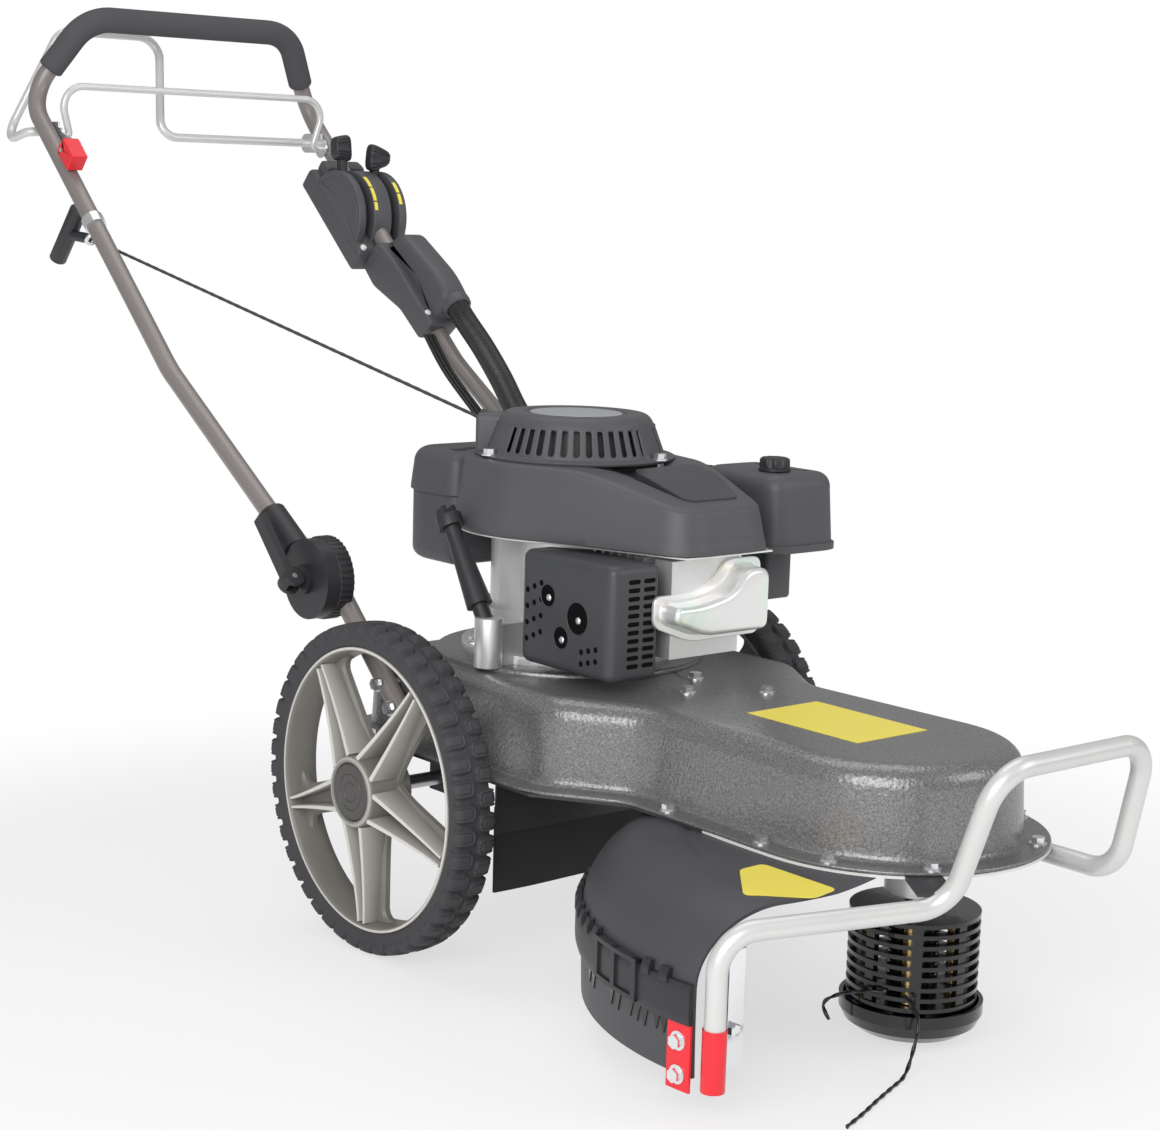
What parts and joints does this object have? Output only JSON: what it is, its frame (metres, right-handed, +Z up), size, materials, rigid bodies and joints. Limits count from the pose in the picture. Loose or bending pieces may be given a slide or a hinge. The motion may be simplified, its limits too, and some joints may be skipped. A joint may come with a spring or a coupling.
{
  "type": "wheeled_string_trimmer",
  "caption": "Walk-behind petrol string trimmer: large spoked wheels, belt-driven line head under a side guard, folding handle with bails, levers and a pull starter.",
  "frame": {"origin": "on the ground, under the middle of the bounding box", "axes": "+X forward, +Y to the operator's left, +Z up"},
  "size_m": [1.5862, 0.5912, 1.0413],
  "materials": {
    "deck_paint": "hammered dark grey paint",
    "black_paint": "satin black paint",
    "zinc_plate": "bright zinc plating",
    "guard_plastic": "moulded black plastic",
    "skirt_rubber": "black rubber sheet",
    "red_paint": "bright red paint",
    "silver_paint": "silver paint",
    "red_plastic": "red moulded plastic",
    "bare_steel": "turned steel",
    "cast_alloy": "die-cast alloy",
    "handle_paint": "grey paint",
    "exhaust_steel": "heat-darkened steel",
    "engine_plastic": "moulded dark grey plastic",
    "black_plastic": "black plastic",
    "control_plastic": "moulded dark grey plastic",
    "belt_rubber": "ribbed belt",
    "rope_braid": "braided rope",
    "gloss_black": "polished black plastic",
    "trimmer_line": "twisted nylon line",
    "tyre_rubber": "dusty black rubber",
    "rim_plastic": "moulded grey plastic",
    "foam": "closed-cell foam"
  },
  "bodies": {
    "chassis": {"deck_cover": "deck_paint", "base_plate": "black_paint", "hex_bolts": "zinc_plate", "guard_dome": "guard_plastic", "guard_strap": "guard_plastic", "guard_skirt": "skirt_rubber", "guard_end_plate": "red_paint", "bumper_bar": "silver_paint", "bumper_cap": "red_plastic", "rear_flap": "skirt_rubber", "axle": "bare_steel", "gearbox": "cast_alloy", "spindle_housing": "cast_alloy", "lower_handles": "handle_paint", "crankcase": "cast_alloy", "cylinder_head": "cast_alloy", "valve_cover": "zinc_plate", "muffler": "exhaust_steel", "muffler_guard": "black_paint", "blower_plate": "zinc_plate", "engine_cowl": "engine_plastic", "recoil_cover": "engine_plastic", "fuel_tank": "engine_plastic", "filler_tube": "black_plastic", "carburettor": "cast_alloy", "air_filter_box": "engine_plastic", "drive_belt": "belt_rubber", "intake_hose": "black_plastic", "control_cables": "black_plastic", "starter_rope": "rope_braid"},
    "engine_rotor": {"crankshaft": "bare_steel", "flywheel": "cast_alloy", "drive_pulley": "bare_steel"},
    "trimmer_head": {"spindle": "bare_steel", "driven_pulley": "bare_steel", "trimmer_spool": "gloss_black", "line_near": "trimmer_line", "line_far": "trimmer_line"},
    "glide_cup": {"glide_cup": "gloss_black"},
    "wheel_left": {"tyre_left": "tyre_rubber", "rim_left": "rim_plastic"},
    "wheel_right": {"tyre_right": "tyre_rubber", "rim_right": "rim_plastic"},
    "upper_handle": {"handle_bar": "handle_paint", "foam_grip": "foam", "hinge_knuckles": "black_plastic", "control_box": "control_plastic", "intake_box": "control_plastic", "handle_brackets": "zinc_plate"},
    "drive_bail": {"drive_bail": "silver_paint"},
    "brake_bail": {"brake_bail": "silver_paint"},
    "bail_catch": {"bail_catch": "red_plastic"},
    "cam_lever_left": {"cam_lever_left": "black_plastic"},
    "cam_lever_right": {"cam_lever_right": "black_plastic"},
    "throttle_lever": {"throttle_lever": "black_plastic"},
    "drive_lever": {"drive_lever": "black_plastic"},
    "starter_grip": {"starter_grip": "black_plastic"},
    "dipstick": {"dipstick": "black_plastic"},
    "fuel_cap": {"fuel_cap": "black_plastic"},
    "filter_knob": {"filter_knob": "black_plastic"}
  },
  "joints": [
    {"name": "wheel_left_spin", "type": "hinge", "parent": "chassis", "child": "wheel_left", "pos_m": [0.06432, 0.2585, 0.175], "axis": [0, 1, 0], "continuous": true},
    {"name": "wheel_right_spin", "type": "hinge", "parent": "chassis", "child": "wheel_right", "pos_m": [0.06432, -0.2105, 0.175], "axis": [0, 1, 0], "continuous": true},
    {"name": "engine_spin", "type": "hinge", "parent": "chassis", "child": "engine_rotor", "pos_m": [0.0893, 0.024, 0.17403], "axis": [0.0388, 0, 0.9992], "continuous": true},
    {"name": "head_spin", "type": "hinge", "parent": "chassis", "child": "trimmer_head", "pos_m": [0.60591, 0.024, 0.15398], "axis": [0.0388, 0, 0.9992], "continuous": true},
    {"name": "glide_cup_spin", "type": "hinge", "parent": "trimmer_head", "child": "glide_cup", "pos_m": [0.60591, 0.024, 0.15398], "axis": [0.0388, 0, 0.9992], "continuous": true},
    {"name": "handle_fold", "type": "hinge", "parent": "chassis", "child": "upper_handle", "pos_m": [-0.08592, 0.024, 0.37798], "axis": [0, 1, 0], "range_deg": [-12, 95], "deforming": ["intake_hose", "control_cables", "starter_rope"]},
    {"name": "cam_left_swing", "type": "hinge", "parent": "chassis", "child": "cam_lever_left", "pos_m": [-0.08592, 0.2664, 0.37798], "axis": [-0.7457, 0, -0.6662], "range_deg": [0, 100]},
    {"name": "cam_right_swing", "type": "hinge", "parent": "chassis", "child": "cam_lever_right", "pos_m": [-0.08592, -0.2184, 0.37798], "axis": [0.7457, 0, 0.6662], "range_deg": [0, 100]},
    {"name": "drive_bail_squeeze", "type": "hinge", "parent": "upper_handle", "child": "drive_bail", "pos_m": [-0.72019, 0.024, 0.88231], "axis": [0, 1, 0], "range_deg": [0, 19], "stiffness_Nm_per_rad": 2, "springref_deg": -17.19},
    {"name": "brake_bail_squeeze", "type": "hinge", "parent": "upper_handle", "child": "brake_bail", "pos_m": [-0.68449, 0.024, 0.87392], "axis": [0, -1, 0], "range_deg": [0, 25], "stiffness_Nm_per_rad": 2, "springref_deg": -17.19},
    {"name": "bail_catch_turn", "type": "hinge", "parent": "upper_handle", "child": "bail_catch", "pos_m": [-0.63474, 0.024, 0.8562], "axis": [0, -1, 0], "range_deg": [0, 25], "stiffness_Nm_per_rad": 0.05, "springref_deg": -28.65},
    {"name": "throttle_lever_turn", "type": "hinge", "parent": "upper_handle", "child": "throttle_lever", "pos_m": [-0.61674, 0.024, 0.78008], "axis": [0, 1, 0], "range_deg": [-6, 58]},
    {"name": "drive_lever_turn", "type": "hinge", "parent": "upper_handle", "child": "drive_lever", "pos_m": [-0.61674, 0.024, 0.78008], "axis": [0, 1, 0], "range_deg": [-20, 45]},
    {"name": "starter_pull", "type": "slide", "parent": "upper_handle", "child": "starter_grip", "axis": [-0.9953, 0, 0.0969], "range_m": [0, 0.45], "stiffness_N_per_m": 20, "springref_m": -0.1},
    {"name": "dipstick_pull", "type": "slide", "parent": "chassis", "child": "dipstick", "axis": [-0.5266, 0, 0.8501], "range_m": [0, 0.11]},
    {"name": "fuel_cap_turn", "type": "hinge", "parent": "chassis", "child": "fuel_cap", "pos_m": [-0.05497, 0.068, 0.51788], "axis": [0.0388, 0, 0.9992], "range_deg": [0, 120]},
    {"name": "filter_knob_turn", "type": "hinge", "parent": "chassis", "child": "filter_knob", "pos_m": [0.24099, 0.189, 0.49839], "axis": [0.0388, 0, 0.9992], "range_deg": [0, 180]}
  ],
  "couplings": [
    {"joint": "head_spin", "follows": "engine_spin", "ratio": 0.62963}
  ]
}
